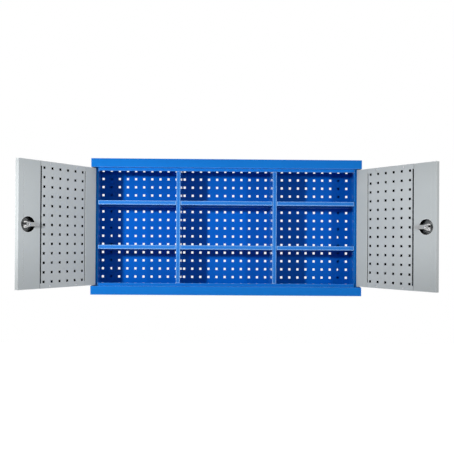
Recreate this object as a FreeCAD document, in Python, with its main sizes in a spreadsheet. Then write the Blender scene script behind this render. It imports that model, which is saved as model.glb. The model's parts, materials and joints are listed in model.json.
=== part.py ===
import FreeCAD, Part
import math
import os
from types import SimpleNamespace

import Sketcher
from FreeCAD import Placement, Rotation, Vector

# Wall-hung tool cabinet: a folded steel case with three bays, a perforated back and two perforated doors.
# Each door covers one outer bay and locks behind the divider beside it, and the middle bay stays open.
# Origin on the wall face in the middle of the four upper wall bolts, X to the right seen from the front,
# Y into the wall, Z up.
# Lengths are millimetres and angles degrees. At rest both doors stand open.

# Driving dimensions
SIZES = {
    "cab_width": (1174.0, "width across the caps"),
    "cab_height": (591.0, "height over the caps"),
    "cab_depth": (232.0, "wall to the front of the caps"),
    "sheet": (1.0, "sheet of the case and doors"),
    "bend": (1.0, "inner radius of a fold"),
    "fit": (0.05, "radial clearance of a pin or plug in its hole"),
    "cap_face": (38.0, "height of a cap's front face"),
    "stop_recess": (26.0, "cap front to the plane that the doors close against"),
    "stop_lip": (12.5, "height of the stop lip beyond the cap face"),
    "lip_return": (12.0, "stop lip's fold to the back"),
    "rear_flange": (20.0, "cap's flange on the wall face"),
    "side_flange": (24.5, "front flange of a side wall"),
    "side_return": (25.0, "side flange's fold to the back"),
    "side_setback": (4.5, "side flange behind the stop plane"),
    "panel_depth": (24.0, "wall to the front of the back panel"),
    "panel_flange": (12.0, "back panel's folded edge"),
    "hole_pitch": (38.0, "pitch of the square holes"),
    "hole_size": (10.0, "side of a square hole"),
    "hole_land": (5.0, "least land from a hole to an edge"),
    "grid_offset": (3.3, "back panel's holes left of the case's middle"),
    "middle_bay": (404.0, "clear width of the middle bay"),
    "divider_flange": (18.0, "front flange of a divider"),
    "divider_return": (10.0, "divider flange's fold to the back"),
    "divider_foot": (15.0, "divider's flange on the back panel"),
    "strike_half": (40.0, "half height of the strike notch"),
    "shelf_lip": (18.5, "height of a shelf's edges"),
    "shelf_hem": (8.0, "fold under a shelf's front edge"),
    "shelf_gap": (1.0, "clearance round a shelf"),
    "upper_shelf": (115.5, "top of the upper shelves over mid height"),
    "lower_shelf": (79.0, "top of the lower shelves under mid height"),
    "bracket_leg": (10.0, "legs of a shelf bracket"),
    "bracket_length": (100.0, "length of a shelf bracket"),
    "bracket_sheet": (1.5, "sheet of a shelf bracket"),
    "rail_width": (50.0, "width of a wall rail"),
    "rail_length": (530.0, "length of a wall rail"),
    "rail_sheet": (2.0, "sheet of a wall rail"),
    "wall_hole": (13.5, "diameter of a wall bolt hole"),
    "door_open": (128.5, "opening angle of the doors at rest"),
    "door_thick": (20.0, "thickness of a door"),
    "door_gap": (3.0, "closed door to the stop plane"),
    "door_clear": (3.0, "door to the caps above and below"),
    "hinge_inset": (1.5, "hinge edge inside the cap's end"),
    "free_gap": (3.5, "free edge past the divider's web"),
    "pivot_in": (7.0, "pivot from the hinge edge"),
    "pivot_deep": (8.0, "pivot from the door's inner face"),
    "hinge_stile": (58.0, "plain inner strip on the hinge side"),
    "lock_stile": (100.0, "plain inner strip on the lock side"),
    "stile_fold": (8.0, "fold at the inner edge of a strip"),
    "hinge_slot": (3.5, "slot between hinge strip and door panel"),
    "lock_slot": (5.0, "slot between lock strip and door panel"),
    "slot_end": (20.5, "end of the slots from the door's end"),
    "ear_gap": (0.3, "seam round the ears of a door panel"),
    "seam_in": (24.0, "seam line from the free edge"),
    "seam_end": (18.0, "end of the seam line from the door's end"),
    "seam_width": (0.8, "width of the seam line"),
    "seam_depth": (0.4, "depth of the seam line"),
    "rivet_half": (65.0, "rivets from the middle of the door panel"),
    "rivet_in": (9.5, "rivets from the door's end"),
    "rivet_shank": (4.0, "rivet shank diameter"),
    "rivet_head": (6.4, "rivet head diameter"),
    "rivet_crown": (1.3, "rivet head height"),
    "rivet_tail": (1.5, "rivet tail length behind the sheets"),
    "pin_dia": (6.0, "pivot pin diameter"),
    "pin_collar": (9.0, "pivot pin collar diameter"),
    "pin_collar_height": (3.0, "pivot pin collar height"),
    "pin_reach": (5.0, "pivot pin length inside the bush"),
    "pin_chamfer": (0.8, "chamfer on the pin's tip"),
    "bush_dia": (10.0, "bush diameter in the cap"),
    "bush_flange": (15.0, "bush flange diameter"),
    "bush_length": (6.0, "bush length inside the cap"),
    "thrust_gap": (0.3, "door to the bush flange"),
    "lock_in": (44.0, "lock axis from the free edge"),
    "access_dia": (62.0, "round opening over the lock"),
    "lock_flange": (24.0, "lock flange diameter"),
    "lock_flange_height": (2.5, "lock flange outside the door"),
    "lock_dia": (19.0, "lock body diameter"),
    "nut_flats": (26.0, "lock nut across the flats"),
    "nut_height": (5.0, "lock nut height"),
    "plug_dia": (12.0, "lock plug diameter"),
    "plug_square": (7.0, "square end of the plug"),
    "key_width": (1.4, "width of the key slot"),
    "key_height": (7.0, "height of the key slot"),
    "key_depth": (6.0, "depth of the key slot"),
    "cam_clear": (3.0, "cam behind the divider's flange"),
    "cam_gap": (0.3, "lock body to the cam"),
    "cam_sheet": (2.5, "cam thickness"),
    "cam_width": (16.0, "cam width"),
    "cam_length": (44.0, "lock axis to the cam's tip"),
    "cam_tail": (13.0, "lock axis to the cam's tail"),
    "cam_tail_round": (5.0, "corner radius of the cam's tail"),
    "screw_dia": (4.0, "cam screw diameter"),
    "screw_length": (8.0, "cam screw length in the plug"),
    "screw_head": (9.0, "cam screw head diameter"),
    "screw_head_height": (2.4, "cam screw head height"),
}

# Wall bolt holes, counted in hole pitches from mid height
WALL_HOLE_ROWS = (1, -1, -5)
# Share of a corner's half width that a rounded end takes
FULL_ROUND = 0.98


class Size:
    """A length that keeps its value together with the sheet expression behind it."""

    def __init__(self, value, text):
        self.value = value
        self.text = text

    def __add__(self, other):
        other = as_size(other)
        return Size(self.value + other.value, f"({self.text} + {other.text})")

    def __sub__(self, other):
        other = as_size(other)
        return Size(self.value - other.value, f"({self.text} - {other.text})")

    def __mul__(self, factor):
        return Size(self.value * factor, f"({self.text} * {factor:.9f})")

    def __truediv__(self, divisor):
        return Size(self.value / divisor, f"({self.text} / {divisor})")

    def __neg__(self):
        return Size(-self.value, f"(0 - {self.text})")


def as_size(number):
    """Wrap a plain number as a Size and pass a Size through."""
    if isinstance(number, Size):
        return number
    return Size(float(number), f"{float(number)}")


# Document and sheet
doc = FreeCAD.newDocument("ToolCabinet")
sheet_table = doc.addObject("Spreadsheet::Sheet", "Sizes")
for row, (alias, (value, note)) in enumerate(SIZES.items(), 1):
    sheet_table.set(f"A{row}", note)
    sheet_table.set(f"B{row}", str(value))
    sheet_table.setAlias(f"B{row}", alias)
doc.recompute()

s = SimpleNamespace(**{alias: Size(float(sheet_table.get(alias)), f"Sizes.{alias}") for alias in SIZES})
ZERO = as_size(0)
nodes = []

# Places worked out from the driving dimensions
half_width = s.cab_width / 2
half_height = s.cab_height / 2
cap_inner = half_height - s.sheet
cap_face_level = half_height - s.cap_face
lip_edge = cap_face_level - s.stop_lip
stop_plane = -(s.cab_depth - s.stop_recess)
outer_bend = s.bend + s.sheet
wall_outside = half_width - s.sheet
wall_inside = wall_outside - s.sheet
wall_top = cap_inner - outer_bend
side_edge = wall_outside - s.side_flange
side_front = stop_plane + s.side_setback
panel_front = -s.panel_depth
panel_rear = panel_front + s.sheet
web_face = s.middle_bay / 2
web_back = web_face + s.sheet
divider_edge = web_face + s.divider_flange
door_half = cap_face_level - s.door_clear
door_inner = stop_plane - s.door_gap
door_outer = door_inner - s.door_thick
hinge_edge = -(half_width - s.hinge_inset)
free_edge = -(web_face + s.free_gap)
pivot_x = hinge_edge + s.pivot_in
pivot_y = door_inner - s.pivot_deep
lock_x = free_edge - s.lock_in
cam_front = stop_plane + s.sheet + s.cam_clear
hinge_stile_edge = hinge_edge + s.hinge_stile
lock_stile_edge = free_edge - s.lock_stile
door_panel_left = hinge_stile_edge + s.hinge_slot
door_panel_right = lock_stile_edge - s.lock_slot
door_panel_middle = (door_panel_left + door_panel_right) / 2
slot_half = door_half - s.slot_end
rivet_level = door_half - s.rivet_in

# Half turn that makes a left-hand piece a right-hand one and a top cap a bottom cap
HALF_TURN = Placement(Vector(), Rotation(Vector(0, 1, 0), 180))
AT_HOME = Placement()
# Turns a piece made along Z so that it points into the cabinet along Y
INTO_CABINET = Rotation(Vector(1, 0, 0), -90)


# Sketch and feature helpers
def new_body(label, listed=True):
    """Start a body, and list it as a sub-part unless it only serves as a pattern for copies."""
    body = doc.addObject("PartDesign::Body", label)
    body.Label = label
    if listed:
        nodes.append(body)
    return body


def new_sketch(body, name, role, lift):
    """Attach a sketch to one of the body's own origin planes, lifted along the plane's normal."""
    plane = next(feature for feature in body.Origin.OriginFeatures if feature.Role == role)
    sketch = body.newObject("Sketcher::SketchObject", name)
    sketch.AttachmentSupport = [(plane, "")]
    sketch.MapMode = "FlatFace"
    sketch.AttachmentOffset = Placement(Vector(0, 0, lift.value), Rotation())
    sketch.setExpression("AttachmentOffset.Base.z", lift.text)
    return sketch


def place_point(sketch, geometry, position, point):
    """Bind one sketch point to its two coordinates."""
    for kind, axis, coordinate in (("DistanceX", -2, point[0]), ("DistanceY", -1, point[1])):
        if abs(coordinate.value) < 1e-9:
            sketch.addConstraint(Sketcher.Constraint("PointOnObject", geometry, position, axis))
            continue
        constraint = Sketcher.Constraint(kind, -1, 1, geometry, position, coordinate.value)
        index = sketch.addConstraint(constraint)
        sketch.setExpression(f"Constraints[{index}]", coordinate.text)


def draw_polygon(sketch, points):
    """Draw a closed polygon and bind each corner."""
    corners = [(as_size(x), as_size(y)) for x, y in points]
    first = sketch.GeometryCount
    count = len(corners)
    for index, start in enumerate(corners):
        end = corners[(index + 1) % count]
        ends = [Vector(point[0].value, point[1].value, 0) for point in (start, end)]
        sketch.addGeometry(Part.LineSegment(*ends))
    for index in range(count):
        following = first + (index + 1) % count
        sketch.addConstraint(Sketcher.Constraint("Coincident", first + index, 2, following, 1))
    for index, corner in enumerate(corners):
        place_point(sketch, first + index, 1, corner)


def draw_circle(sketch, centre, diameter):
    """Draw a circle and bind its centre and diameter."""
    centre = (as_size(centre[0]), as_size(centre[1]))
    middle = Vector(centre[0].value, centre[1].value, 0)
    index = sketch.addGeometry(Part.Circle(middle, Vector(0, 0, 1), diameter.value / 2))
    place_point(sketch, index, 3, centre)
    constraint = sketch.addConstraint(Sketcher.Constraint("Diameter", index, diameter.value))
    sketch.setExpression(f"Constraints[{constraint}]", diameter.text)


def rectangle(left, bottom, right, top):
    """Corner points of a rectangle."""
    return [(left, bottom), (right, bottom), (right, top), (left, top)]


def lifted_sketch(body, name, role, start):
    """Sketch on the plane that cuts the world axis at start."""
    lift = -as_size(start) if role == "XZ_Plane" else as_size(start)
    return new_sketch(body, name, role, lift)


def finish_feature(body, feature, sketch, length, backwards):
    """Give a pad or pocket its profile, its length and its direction along the world axis."""
    feature.Profile = sketch
    feature.Length = as_size(length).value
    feature.setExpression("Length", as_size(length).text)
    feature.Reversed = backwards
    body.Tip = feature
    doc.recompute()


def pad(body, name, role, points, start, length):
    """Add a prism of a polygon, from start along the world axis."""
    sketch = lifted_sketch(body, f"{name}Sketch", role, start)
    draw_polygon(sketch, points)
    feature = body.newObject("PartDesign::Pad", name)
    finish_feature(body, feature, sketch, length, role == "XZ_Plane")


def cut(body, name, role, shapes, start, length):
    """Cut prisms of polygons and (centre, diameter) circles, from start along the world axis."""
    before = body.Shape.Volume
    sketch = lifted_sketch(body, f"{name}Sketch", role, start)
    for shape in shapes:
        if len(shape) == 2:
            draw_circle(sketch, *shape)
        else:
            draw_polygon(sketch, shape)
    feature = body.newObject("PartDesign::Pocket", name)
    finish_feature(body, feature, sketch, length, role != "XZ_Plane")
    if not body.Shape.Volume < before:
        raise RuntimeError(f"{body.Label}: {name} cuts nothing")


def round_edges(body, name, radius, axis, points):
    """Round the edges that run along a world axis through the given points of the plane across it."""
    across = [index for index in range(3) if index != axis]
    base = body.Tip
    chosen = []
    for number, edge in enumerate(base.Shape.Edges, 1):
        first, last = edge.Vertexes[0].Point, edge.Vertexes[-1].Point
        if max(abs(first[index] - last[index]) for index in across) > 1e-6:
            continue
        if any(all(abs(first[index] - as_size(place).value) < 1e-6 for index, place in zip(across, point))
               for point in points):
            chosen.append(f"Edge{number}")
    feature = body.newObject("PartDesign::Fillet", name)
    feature.Base = (base, chosen)
    feature.Radius = radius.value
    feature.setExpression("Radius", radius.text)
    body.Tip = feature
    doc.recompute()


def fold(body, name, role, path, start, length, thickness):
    """Fold a strip of sheet along a right-angled path, which is its outer face with the sheet on its left."""
    path = [(as_size(x), as_size(y)) for x, y in path]
    lefts = []
    for (x0, y0), (x1, y1) in zip(path, path[1:]):
        run_x, run_y = x1.value - x0.value, y1.value - y0.value
        reach = math.hypot(run_x, run_y)
        lefts.append((round(-run_y / reach), round(run_x / reach)))
    inside = []
    sharp, hollow = [], []
    for index, (x, y) in enumerate(path):
        near = lefts[max(index - 1, 0)]
        far = lefts[min(index, len(lefts) - 1)]
        step = (near[0] + far[0], near[1] + far[1]) if near != far else near
        inside.append((x + thickness * step[0], y + thickness * step[1]))
        if near != far:
            turns_left = near[0] * far[1] - near[1] * far[0] > 0
            sharp.append((x, y) if turns_left else inside[-1])
            hollow.append(inside[-1] if turns_left else (x, y))
    pad(body, name, role, path + inside[::-1], start, length)
    axis = {"XY_Plane": 2, "XZ_Plane": 1, "YZ_Plane": 0}[role]
    round_edges(body, f"{name}Outside", s.bend + thickness, axis, sharp)
    round_edges(body, f"{name}Inside", s.bend, axis, hollow)


def turned(body, name, points):
    """Turn a closed profile of (radius, height) points about Z."""
    sketch = lifted_sketch(body, f"{name}Sketch", "XZ_Plane", ZERO)
    draw_polygon(sketch, points)
    feature = body.newObject("PartDesign::Revolution", name)
    feature.Profile = sketch
    feature.ReferenceAxis = (sketch, ["V_Axis"])
    feature.Angle = 360.0
    body.Tip = feature
    doc.recompute()


def group(label, pattern, placements):
    """Join copies of one piece, as separate solids, in one sub-part."""
    copies = []
    for placement in placements:
        copy = pattern.Shape.copy()
        copy.Placement = placement.multiply(copy.Placement)
        copies.append(copy)
    joined = doc.addObject("Part::Feature", label)
    joined.Label = label
    joined.Shape = Part.makeCompound(copies)
    nodes.append(joined)
    return joined


def move(x, y, z, rotation=Rotation()):
    """Placement at a point, with an optional turn."""
    return Placement(Vector(as_size(x).value, as_size(y).value, as_size(z).value), rotation)


def flat_wire(points, level):
    """Closed wire of (x, z) corners in the plane Y = level."""
    corners = [Vector(as_size(x).value, level, as_size(z).value) for x, z in points]
    return Part.makePolygon(corners + corners[:1])


def hole_places(low, high):
    """Centres of the holes that fit between two edges, spread evenly about their middle."""
    pitch = s.hole_pitch.value
    room = high.value - low.value - s.hole_size.value - 2 * s.hole_land.value
    gaps = math.floor(room / pitch)
    middle = (low.value + high.value) / 2
    return [middle + pitch * (index - gaps / 2) for index in range(gaps + 1)]


def perforated_sheet(outline, face, columns, rows, round_holes=()):
    """Sheet of a polygon outline with a grid of square holes, its front at Y = face."""
    half = s.hole_size.value / 2
    wires = [flat_wire(outline, face.value)]
    for x in columns:
        for z in rows:
            hole = flat_wire(rectangle(x - half, z - half, x + half, z + half), face.value)
            wires.append(hole.reversed())
    for (x, z), diameter in round_holes:
        ring = Part.Circle(Vector(x.value, face.value, z.value), Vector(0, -1, 0), diameter.value / 2)
        wires.append(Part.Wire([ring.toShape()]).reversed())
    return Part.Face(wires).extrude(Vector(0, s.sheet.value, 0))


# Case
def build_cap(label, placement):
    """Top cap: one folded strip with closed ends, a stop lip between the side walls and two pivot holes."""
    body = new_body(label)
    profile = [
        (ZERO, half_height - s.rear_flange),
        (ZERO, half_height),
        (-s.cab_depth, half_height),
        (-s.cab_depth, cap_face_level),
        (stop_plane, cap_face_level),
        (stop_plane, lip_edge),
        (stop_plane + s.lip_return, lip_edge),
    ]
    fold(body, "Strip", "YZ_Plane", profile, -half_width, s.cab_width, s.sheet)
    lip_half = side_edge - s.shelf_gap / 2
    flange_half = wall_inside - s.shelf_gap
    strip_end = stop_plane - s.bend
    for side, start, length in (("Left", -half_width, half_width - lip_half),
                                ("Right", lip_half, half_width - lip_half)):
        lip = rectangle(strip_end, lip_edge - s.sheet, stop_plane + s.lip_return + s.sheet,
                        cap_face_level + s.sheet)
        cut(body, f"{side}LipEnd", "YZ_Plane", [lip], start, length)
    for side, start in (("Left", -half_width), ("Right", flange_half)):
        flange = rectangle(-outer_bend, half_height - s.rear_flange - s.sheet,
                           s.sheet, half_height - outer_bend)
        cut(body, f"{side}FlangeEnd", "YZ_Plane", [flange], start, half_width - flange_half)
    plate = rectangle(-(s.cab_depth - s.sheet), cap_face_level + s.sheet, -s.sheet, cap_inner)
    pad(body, "LeftEnd", "YZ_Plane", plate, -half_width, s.sheet)
    pad(body, "RightEnd", "YZ_Plane", plate, wall_outside, s.sheet)
    bush_hole = s.bush_dia + s.fit * 2
    holes = [((pivot_x, pivot_y), bush_hole), ((-pivot_x, pivot_y), bush_hole)]
    cut(body, "PivotHoles", "XY_Plane", holes, cap_face_level - s.sheet, s.sheet * 3)
    body.Placement = placement


def build_side(label, placement):
    """Left side wall: a sheet with a set-back and folded front flange that the door's edge swings past."""
    body = new_body(label)
    profile = [
        (-wall_outside, ZERO),
        (-wall_outside, side_front),
        (-side_edge, side_front),
        (-side_edge, side_front + s.side_return),
    ]
    fold(body, "Wall", "XY_Plane", profile, -wall_top, wall_top * 2, s.sheet)
    body.Placement = placement


def build_divider(label, placement):
    """Left divider: a channel on the back panel, notched round the stop lips and for the lock's cam."""
    body = new_body(label)
    profile = [
        (-divider_edge, stop_plane + s.divider_return),
        (-divider_edge, stop_plane),
        (-web_face, stop_plane),
        (-web_face, panel_front),
        (-(web_face + s.divider_foot), panel_front),
    ]
    fold(body, "Web", "XY_Plane", profile, -cap_inner, cap_inner * 2, s.sheet)
    notch_back = stop_plane + s.lip_return + s.sheet
    notch_start = lip_edge - s.shelf_gap / 2
    notches = [
        rectangle(stop_plane - s.sheet, notch_start, notch_back, half_height),
        rectangle(stop_plane - s.sheet, -half_height, notch_back, -notch_start),
    ]
    cut(body, "LipNotches", "YZ_Plane", notches, -(divider_edge + s.sheet), s.divider_flange + s.sheet * 2)
    strike = rectangle(stop_plane + outer_bend, -s.strike_half,
                       stop_plane + s.divider_return + s.sheet, s.strike_half)
    cut(body, "StrikeNotch", "YZ_Plane", [strike], -(divider_edge + s.sheet), s.sheet * 3)
    body.Placement = placement


def build_back_panel():
    """Back panel: a perforated tray whose edges fold back to the walls and caps."""
    columns = hole_places(-wall_inside, wall_inside - s.grid_offset * 2)
    rows = hole_places(-cap_inner, cap_inner)
    outline = rectangle(-wall_inside, -cap_inner, wall_inside, cap_inner)
    inner_half_x, inner_half_z = wall_inside - s.sheet, cap_inner - s.sheet
    opening = rectangle(-inner_half_x, -inner_half_z, inner_half_x, inner_half_z)
    rim = Part.Face([flat_wire(outline, panel_rear.value), flat_wire(opening, panel_rear.value).reversed()])
    edges = rim.extrude(Vector(0, s.panel_flange.value - s.sheet.value, 0))
    panel = doc.addObject("Part::Feature", "back_panel")
    panel.Label = "back_panel"
    panel.Shape = perforated_sheet(outline, panel_front, columns, rows).fuse(edges).removeSplitter().Solids[0]
    nodes.append(panel)
    return columns


def build_wall_rail(label, centre):
    """Wall rail: a channel behind the back panel with bolt holes in line with the panel's holes."""
    body = new_body(label)
    left, right = centre - s.rail_width / 2, centre + s.rail_width / 2
    profile = [(right, panel_rear), (right, ZERO), (left, ZERO), (left, panel_rear)]
    fold(body, "Channel", "XY_Plane", profile, -s.rail_length / 2, s.rail_length, s.rail_sheet)
    holes = [((centre, s.hole_pitch * row), s.wall_hole) for row in WALL_HOLE_ROWS]
    cut(body, "BoltHoles", "XZ_Plane", holes, -s.rail_sheet * 2, s.rail_sheet * 3)


# Shelves
def build_shelf(label, top, front_left, front_right, back_left, back_right):
    """Shelf: a tray with its edges folded down, narrower in front, hemmed under the front edge."""
    body = new_body(label)
    bottom = top - s.shelf_lip
    front = stop_plane + s.shelf_gap
    step = side_front + s.side_return + s.shelf_gap
    back = panel_front - s.shelf_gap
    if front_left.value == back_left.value:
        outline = rectangle(back_left, front, back_right, back)
    else:
        outline = [
            (front_left, front), (front_right, front), (front_right, step), (back_right, step),
            (back_right, back), (back_left, back), (back_left, step), (front_left, step),
        ]
    pad(body, "Block", "XY_Plane", outline, bottom, s.shelf_lip)
    round_edges(body, "FrontBend", outer_bend, 0, [(front, top)])
    base = body.Tip
    shell = body.newObject("PartDesign::Thickness", "Tray")
    underside = min(range(len(base.Shape.Faces)), key=lambda index: base.Shape.Faces[index].CenterOfMass.z)
    shell.Base = (base, [f"Face{underside + 1}"])
    shell.Value = s.sheet.value
    shell.setExpression("Value", s.sheet.text)
    shell.Reversed = True
    body.Tip = shell
    doc.recompute()
    hem = rectangle(front_left, front, front_right, front + s.shelf_hem)
    pad(body, "Hem", "XY_Plane", hem, bottom, s.sheet)
    round_edges(body, "HemBend", outer_bend, 0, [(front, bottom)])


def build_shelves():
    """Two shelves in each bay, each on a pair of angle brackets."""
    gap = s.shelf_gap
    bays = {
        "left": (-(side_edge - gap), -(divider_edge + gap), -(wall_inside - gap), -(web_back + gap)),
        "middle": (-(web_face - gap), web_face - gap, -(web_face - gap), web_face - gap),
        "right": (divider_edge + gap, side_edge - gap, web_back + gap, wall_inside - gap),
    }
    bracket = new_body("ShelfBracket", listed=False)
    corner = [(s.bracket_leg, ZERO), (ZERO, ZERO), (ZERO, -s.bracket_leg)]
    fold(bracket, "Angle", "XZ_Plane", corner, -s.bracket_length / 2, s.bracket_length, s.bracket_sheet)
    middle = (stop_plane + panel_front) / 2
    faces = (-wall_inside, -web_back, -web_face, web_face, web_back, wall_inside)
    about = Rotation(Vector(0, 0, 1), 180)
    for level, top in (("upper", s.upper_shelf), ("lower", -s.lower_shelf)):
        for bay, limits in bays.items():
            build_shelf(f"{level}_{bay}_shelf", top, *limits)
        seats = [move(face, middle, top - s.shelf_lip, Rotation() if index % 2 == 0 else about)
                 for index, face in enumerate(faces)]
        group(f"{level}_shelf_brackets", bracket, seats)


# Doors, drawn shut on the left-hand side
def build_leaf(label, placement):
    """Door leaf: a folded shell with plain strips along both edges, open between them for the panel."""
    body = new_body(label)
    fold_depth = door_inner - s.stile_fold
    profile = [
        (hinge_stile_edge, fold_depth),
        (hinge_stile_edge, door_inner),
        (hinge_edge, door_inner),
        (hinge_edge, door_outer),
        (free_edge, door_outer),
        (free_edge, door_inner),
        (lock_stile_edge, door_inner),
        (lock_stile_edge, fold_depth),
    ]
    fold(body, "Skin", "XY_Plane", profile, -door_half, door_half * 2, s.sheet)
    seat = door_inner - s.sheet
    end_plate = rectangle(hinge_edge + s.sheet, door_outer + s.sheet, free_edge - s.sheet, seat)
    for name, start in (("Top", door_half - s.sheet), ("Bottom", -door_half)):
        pad(body, f"{name}Plate", "XY_Plane", end_plate, start, s.sheet)
    rail = rectangle(hinge_stile_edge + s.ear_gap, seat - s.sheet, lock_stile_edge - s.ear_gap, seat)
    for name, start in (("Top", slot_half), ("Bottom", -door_half)):
        pad(body, f"{name}Rail", "XY_Plane", rail, start, s.slot_end)
    pin_hole = s.pin_dia + s.fit * 2
    cut(body, "PinHoles", "XY_Plane", [((pivot_x, pivot_y), pin_hole)], -(door_half + s.sheet),
        (door_half + s.sheet) * 2)
    cut(body, "AccessHole", "XZ_Plane", [((lock_x, ZERO), s.access_dia)], seat - s.sheet, s.sheet * 3)
    lock_hole = s.lock_dia + s.fit * 2
    cut(body, "LockHole", "XZ_Plane", [((lock_x, ZERO), lock_hole)], door_outer - s.sheet, s.sheet * 3)
    rivet_hole = s.rivet_shank + s.fit * 2
    cut(body, "RivetHoles", "XZ_Plane", [(place, rivet_hole) for place in rivet_places()],
        seat - s.sheet * 2, s.sheet * 3)
    seam_x, seam_half = free_edge - s.seam_in, door_half - s.seam_end
    seam = rectangle(seam_x - s.seam_width / 2, -seam_half, seam_x + s.seam_width / 2, seam_half)
    cut(body, "SeamLine", "XZ_Plane", [seam], door_inner - s.seam_depth, s.seam_depth + s.sheet)
    body.Placement = placement


def rivet_places():
    """The four rivets of a door panel, as (x, z)."""
    return [(door_panel_middle + s.rivet_half * side, rivet_level * end)
            for side in (-1, 1) for end in (-1, 1)]


def build_door_panel(label, placement):
    """Door panel: a perforated sheet with ears on the leaf's end rails and edges folded into the leaf."""
    ear_left, ear_right = hinge_stile_edge + s.ear_gap, lock_stile_edge - s.ear_gap
    ear_top = door_half - s.ear_gap
    outline = [
        (ear_left, -ear_top), (ear_right, -ear_top), (ear_right, -slot_half), (door_panel_right, -slot_half),
        (door_panel_right, slot_half), (ear_right, slot_half), (ear_right, ear_top), (ear_left, ear_top),
        (ear_left, slot_half), (door_panel_left, slot_half), (door_panel_left, -slot_half),
        (ear_left, -slot_half),
    ]
    rivet_hole = s.rivet_shank + s.fit * 2
    seat = door_inner - s.sheet
    columns = hole_places(door_panel_left, door_panel_right)
    row_limit = rivet_level - s.rivet_head / 2
    rows = hole_places(-row_limit, row_limit)
    shape = perforated_sheet(outline, seat, columns, rows, [(place, rivet_hole) for place in rivet_places()])
    flange_depth = s.stile_fold.value - s.sheet.value
    flange_half = slot_half - s.ear_gap
    for left in (door_panel_left, door_panel_right - s.sheet):
        edge = flat_wire(rectangle(left, -flange_half, left + s.sheet, flange_half), seat.value)
        shape = shape.fuse(Part.Face(edge).extrude(Vector(0, -flange_depth, 0)))
    panel = doc.addObject("Part::Feature", label)
    panel.Label = label
    panel.Shape = shape.removeSplitter().Solids[0]
    panel.Placement = placement
    nodes.append(panel)


def build_rivet():
    """Blind rivet along Z, its head on the panel's face at height 0."""
    body = new_body("Rivet", listed=False)
    shank, head = s.rivet_shank / 2, s.rivet_head / 2
    grip = -(s.sheet * 2)
    tail = head - s.fit * 4
    turned(body, "Turning", [
        (ZERO, s.rivet_crown), (head / 2, s.rivet_crown), (head, ZERO),
        (shank, ZERO), (shank, grip), (tail, grip), (tail, grip - s.rivet_tail), (ZERO, grip - s.rivet_tail),
    ])
    return body


def build_pivot_pin():
    """Pivot pin along Z, its collar under the door's end plate at height 0."""
    body = new_body("PivotPin", listed=False)
    radius, collar = s.pin_dia / 2, s.pin_collar / 2
    reach = s.sheet + s.door_clear + s.pin_reach
    turned(body, "Turning", [
        (ZERO, -s.pin_collar_height), (collar, -s.pin_collar_height), (collar, ZERO), (radius, ZERO),
        (radius, reach - s.pin_chamfer), (radius - s.pin_chamfer, reach), (ZERO, reach),
    ])
    return body


def build_pivot_bushes():
    """Four flanged bushes in the caps, each flange just clear of a door."""
    body = new_body("PivotBush", listed=False)
    bore, barrel, flange = s.pin_dia / 2 + s.fit, s.bush_dia / 2, s.bush_flange / 2
    below = s.thrust_gap - s.door_clear
    turned(body, "Turning", [
        (bore, below), (flange, below), (flange, ZERO), (barrel, ZERO),
        (barrel, s.bush_length), (bore, s.bush_length),
    ])
    upper = [move(x, pivot_y, cap_face_level) for x in (pivot_x, -pivot_x)]
    group("pivot_bushes", body, upper + [HALF_TURN.multiply(place) for place in upper])


# Locks, made along Z from the door's outer face, with the cam towards the hinge
plug_length = cam_front - door_outer


def build_lock_housing(label, placement):
    """Lock housing: a flanged barrel through the door's skin."""
    body = new_body(label)
    bore, barrel, flange = s.plug_dia / 2 + s.fit, s.lock_dia / 2, s.lock_flange / 2
    end = plug_length - s.cam_gap
    turned(body, "Turning", [
        (bore, -s.lock_flange_height), (flange - s.sheet, -s.lock_flange_height),
        (flange, s.sheet - s.lock_flange_height), (flange, ZERO), (barrel, ZERO), (barrel, end), (bore, end),
    ])
    body.Placement = placement


def build_lock_nut(label, placement):
    """Hexagonal nut that clamps the housing to the inside of the skin."""
    body = new_body(label)
    corner = s.nut_flats / math.sqrt(3)
    hexagon = [(corner * math.cos(math.radians(60 * k)), corner * math.sin(math.radians(60 * k)))
               for k in range(6)]
    pad(body, "Nut", "XY_Plane", hexagon, s.sheet, s.nut_height)
    bore = s.lock_dia + s.fit * 2
    cut(body, "Bore", "XY_Plane", [((ZERO, ZERO), bore)], ZERO, s.sheet * 2 + s.nut_height)
    body.Placement = placement


def build_lock_plug(label, placement):
    """Lock plug with a key slot outside and a square end inside."""
    body = new_body(label)
    radius, half = s.plug_dia / 2, s.plug_square / 2
    face = -s.lock_flange_height
    turned(body, "Turning", [(ZERO, face), (radius, face), (radius, plug_length), (ZERO, plug_length)])
    pad(body, "Square", "XY_Plane", rectangle(-half, -half, half, half), plug_length, s.cam_sheet)
    key = rectangle(-s.key_width / 2, -s.key_height / 2, s.key_width / 2, s.key_height / 2)
    cut(body, "KeySlot", "XY_Plane", [key], face - s.sheet, s.key_depth + s.sheet)
    screw_hole = s.screw_dia + s.fit * 2
    start = plug_length + s.cam_sheet - s.screw_length - s.sheet
    cut(body, "ScrewHole", "XY_Plane", [((ZERO, ZERO), screw_hole)], start, s.screw_length + s.sheet * 2)
    body.Placement = placement


def build_lock_cam(label, placement):
    """Flat cam with a round tip, on the square end of the plug."""
    body = new_body(label)
    half = s.cam_width / 2
    pad(body, "Bar", "XY_Plane", rectangle(-s.cam_length, -half, s.cam_tail, half), plug_length, s.cam_sheet)
    round_edges(body, "Tip", half * FULL_ROUND, 2, [(-s.cam_length, -half), (-s.cam_length, half)])
    round_edges(body, "Tail", s.cam_tail_round, 2, [(s.cam_tail, -half), (s.cam_tail, half)])
    square = s.plug_square / 2 + s.fit
    cut(body, "SquareHole", "XY_Plane", [rectangle(-square, -square, square, square)],
        plug_length - s.sheet, s.cam_sheet + s.sheet * 2)
    body.Placement = placement


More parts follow.
